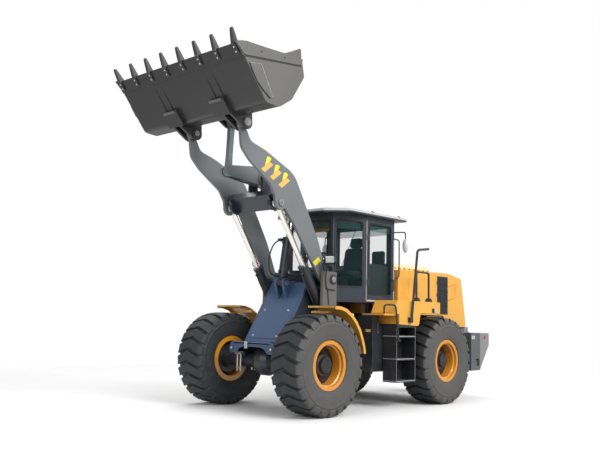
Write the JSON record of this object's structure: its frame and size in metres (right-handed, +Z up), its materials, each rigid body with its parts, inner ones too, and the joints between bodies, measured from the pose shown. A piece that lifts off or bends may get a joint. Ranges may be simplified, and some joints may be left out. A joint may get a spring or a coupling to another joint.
{
  "type": "articulated wheel loader",
  "caption": "Articulated wheel loader, boom raised and bucket rolled back: hinged frames, Z-bar linkage, lift, tilt and steering cylinders, cab with door, rear counterweight.",
  "frame": {"origin": "on the ground under the middle of the machine's overall length and width", "axes": "+X forward, +Y to the driver's left, +Z up"},
  "size_m": [7.5646, 2.96, 5.5497],
  "materials": {
    "body_yellow": "gloss amber yellow paint",
    "boom_grey": "semi-gloss grey paint",
    "bucket_grey": "satin charcoal paint",
    "cab_dark": "semi-gloss dark paint",
    "chrome_rod": "polished chrome",
    "frame_blue": "semi-gloss slate blue paint",
    "glass_teal": "tinted glass",
    "pin_steel": "machined steel",
    "rim_yellow": "gloss orange yellow paint",
    "seat_fabric": "dark woven fabric",
    "steel_dark": "semi-gloss dark navy paint",
    "trim_black": "matt black",
    "tyre_rubber": "matt black rubber",
    "weight_grey": "painted cast iron"
  },
  "bodies": {
    "rear_frame": {"chassis_rear": "steel_dark", "axle_rear": "steel_dark", "engine": "steel_dark", "hood": "body_yellow", "side_grilles": "trim_black", "rear_grille": "trim_black", "hood_vent": "body_yellow", "counterweight": "weight_grey", "tanks": "steel_dark", "steps": "body_yellow", "rear_fenders": "body_yellow", "ladders": "trim_black", "rails": "trim_black", "cab_frame": "cab_dark", "cab_glass": "glass_teal", "cab_roof": "cab_dark", "seat_cushions": "seat_fabric", "seat_base": "trim_black", "console": "trim_black", "mirrors": "trim_black"},
    "door": {"door": "cab_dark", "door_glass": "glass_teal"},
    "front_frame": {"chassis_front": "frame_blue", "axle_front": "steel_dark", "front_fenders": "body_yellow", "headlamps": "steel_dark"},
    "boom": {"boom": "boom_grey"},
    "bucket_pins": {"bucket_pins": "pin_steel"},
    "bucket": {"bucket": "bucket_grey", "bucket_teeth": "bucket_grey"},
    "crank_pin": {"crank_pin": "pin_steel"},
    "crank": {"crank": "boom_grey"},
    "link_pin": {"link_pin": "pin_steel"},
    "link": {"link": "boom_grey"},
    "tilt_pin": {"tilt_pin": "pin_steel"},
    "tilt_barrel": {"tilt_barrel": "steel_dark"},
    "tilt_rod": {"tilt_rod": "chrome_rod"},
    "lift_barrel_left": {"lift_barrel_left": "steel_dark"},
    "lift_rod_left": {"lift_rod_left": "chrome_rod"},
    "steer_barrel_left": {"steer_barrel_left": "steel_dark"},
    "steer_rod_left": {"steer_rod_left": "chrome_rod"},
    "lift_barrel_right": {"lift_barrel_right": "steel_dark"},
    "lift_rod_right": {"lift_rod_right": "chrome_rod"},
    "steer_barrel_right": {"steer_barrel_right": "steel_dark"},
    "steer_rod_right": {"steer_rod_right": "chrome_rod"},
    "wheel_front_left": {"tyre_front_left": "tyre_rubber", "rim_front_left": "rim_yellow"},
    "wheel_front_right": {"tyre_front_right": "tyre_rubber", "rim_front_right": "rim_yellow"},
    "wheel_rear_left": {"tyre_rear_left": "tyre_rubber", "rim_rear_left": "rim_yellow"},
    "wheel_rear_right": {"tyre_rear_right": "tyre_rubber", "rim_rear_right": "rim_yellow"}
  },
  "joints": [
    {"name": "steer", "type": "hinge", "parent": "rear_frame", "child": "front_frame", "pos_m": [-0.1673, 0, 0.965], "axis": [0, 0, 1], "range_deg": [-38, 38]},
    {"name": "spin_front_left", "type": "hinge", "parent": "front_frame", "child": "wheel_front_left", "pos_m": [1.4827, 1.125, 0.785], "axis": [0, 1, 0], "continuous": true},
    {"name": "spin_front_right", "type": "hinge", "parent": "front_frame", "child": "wheel_front_right", "pos_m": [1.4827, -1.125, 0.785], "axis": [0, 1, 0], "continuous": true},
    {"name": "spin_rear_left", "type": "hinge", "parent": "rear_frame", "child": "wheel_rear_left", "pos_m": [-1.8173, 1.125, 0.785], "axis": [0, 1, 0], "continuous": true},
    {"name": "spin_rear_right", "type": "hinge", "parent": "rear_frame", "child": "wheel_rear_right", "pos_m": [-1.8173, -1.125, 0.785], "axis": [0, 1, 0], "continuous": true},
    {"name": "boom_lift", "type": "hinge", "parent": "front_frame", "child": "boom", "pos_m": [0.6827, 0, 2.16], "axis": [0, -1, 0], "range_deg": [-84, 0]},
    {"name": "bucket_level", "type": "hinge", "parent": "boom", "child": "bucket_pins", "pos_m": [2.7527, 0, 4.46], "axis": [0, -1, 0], "range_deg": [0, 82.8]},
    {"name": "bucket_tilt", "type": "hinge", "parent": "bucket_pins", "child": "bucket", "pos_m": [2.7527, 0, 4.46], "axis": [0, -1, 0], "range_deg": [-93, 0]},
    {"name": "crank_level", "type": "hinge", "parent": "boom", "child": "crank_pin", "pos_m": [1.7777, 0, 3.794], "axis": [0, -1, 0], "range_deg": [-37.1, 0]},
    {"name": "crank_turn", "type": "hinge", "parent": "crank_pin", "child": "crank", "pos_m": [1.7777, 0, 3.794], "axis": [0, -1, 0], "range_deg": [0, 31.19]},
    {"name": "link_level", "type": "hinge", "parent": "bucket", "child": "link_pin", "pos_m": [2.4457, 0, 4.625], "axis": [0, -1, 0], "range_deg": [-98.89, 0]},
    {"name": "link_turn", "type": "hinge", "parent": "link_pin", "child": "link", "pos_m": [2.4457, 0, 4.625], "axis": [0, -1, 0], "range_deg": [0, 47.57]},
    {"name": "tilt_level", "type": "hinge", "parent": "front_frame", "child": "tilt_pin", "pos_m": [1.1727, 0, 2.09], "axis": [0, -1, 0], "range_deg": [-98.74, 0]},
    {"name": "tilt_swing", "type": "hinge", "parent": "tilt_pin", "child": "tilt_barrel", "pos_m": [1.1727, 0, 2.09], "axis": [0, -1, 0], "range_deg": [-20.66, 0]},
    {"name": "tilt_stroke", "type": "slide", "parent": "tilt_barrel", "child": "tilt_rod", "axis": [-0.1575, 0, 0.9875], "range_m": [-0.36108, 0]},
    {"name": "lift_swing_left", "type": "hinge", "parent": "front_frame", "child": "lift_barrel_left", "pos_m": [0.6927, 0.533, 1.55], "axis": [0, -1, 0], "range_deg": [-77.74, 0]},
    {"name": "lift_stroke_left", "type": "slide", "parent": "lift_barrel_left", "child": "lift_rod_left", "axis": [0.559, 0, 0.8292], "range_m": [-0.79837, 0]},
    {"name": "steer_swing_left", "type": "hinge", "parent": "rear_frame", "child": "steer_barrel_left", "pos_m": [-0.6873, 0.285, 0.98], "axis": [0, 0, 1], "range_deg": [-18.54, 18.54]},
    {"name": "steer_stroke_left", "type": "slide", "parent": "steer_barrel_left", "child": "steer_rod_left", "axis": [1, 0, 0], "range_m": [-0.18927, 0.18927]},
    {"name": "lift_swing_right", "type": "hinge", "parent": "front_frame", "child": "lift_barrel_right", "pos_m": [0.6927, -0.533, 1.55], "axis": [0, -1, 0], "range_deg": [-77.74, 0]},
    {"name": "lift_stroke_right", "type": "slide", "parent": "lift_barrel_right", "child": "lift_rod_right", "axis": [0.559, 0, 0.8292], "range_m": [-0.79837, 0]},
    {"name": "steer_swing_right", "type": "hinge", "parent": "rear_frame", "child": "steer_barrel_right", "pos_m": [-0.6873, -0.285, 0.98], "axis": [0, 0, 1], "range_deg": [-18.54, 18.54]},
    {"name": "steer_stroke_right", "type": "slide", "parent": "steer_barrel_right", "child": "steer_rod_right", "axis": [1, 0, 0], "range_m": [-0.18927, 0.18927]},
    {"name": "door_swing", "type": "hinge", "parent": "rear_frame", "child": "door", "pos_m": [-0.1523, 0.796, 2.55], "axis": [0, 0, -1], "range_deg": [0, 80]}
  ],
  "couplings": [
    {"joint": "bucket_level", "follows": "boom_lift", "ratio": -0.96641},
    {"joint": "crank_level", "follows": "boom_lift", "ratio": 0.43296},
    {"joint": "crank_turn", "follows": "bucket_tilt", "ratio": -0.32883},
    {"joint": "link_level", "follows": "boom_lift", "ratio": 1.1542},
    {"joint": "link_turn", "follows": "bucket_tilt", "ratio": -0.50151},
    {"joint": "tilt_level", "follows": "boom_lift", "ratio": 1.1524},
    {"joint": "tilt_swing", "follows": "bucket_tilt", "ratio": 0.21775},
    {"joint": "tilt_stroke", "follows": "bucket_tilt", "m_per_rad": 0.21809},
    {"joint": "lift_swing_left", "follows": "boom_lift", "ratio": 0.90735},
    {"joint": "lift_stroke_left", "follows": "boom_lift", "m_per_rad": 0.53389},
    {"joint": "steer_swing_left", "follows": "steer", "ratio": 0.4784},
    {"joint": "steer_stroke_left", "follows": "steer", "m_per_rad": -0.27978},
    {"joint": "lift_swing_right", "follows": "boom_lift", "ratio": 0.90735},
    {"joint": "lift_stroke_right", "follows": "boom_lift", "m_per_rad": 0.53389},
    {"joint": "steer_swing_right", "follows": "steer", "ratio": 0.4784},
    {"joint": "steer_stroke_right", "follows": "steer", "m_per_rad": 0.27978}
  ]
}
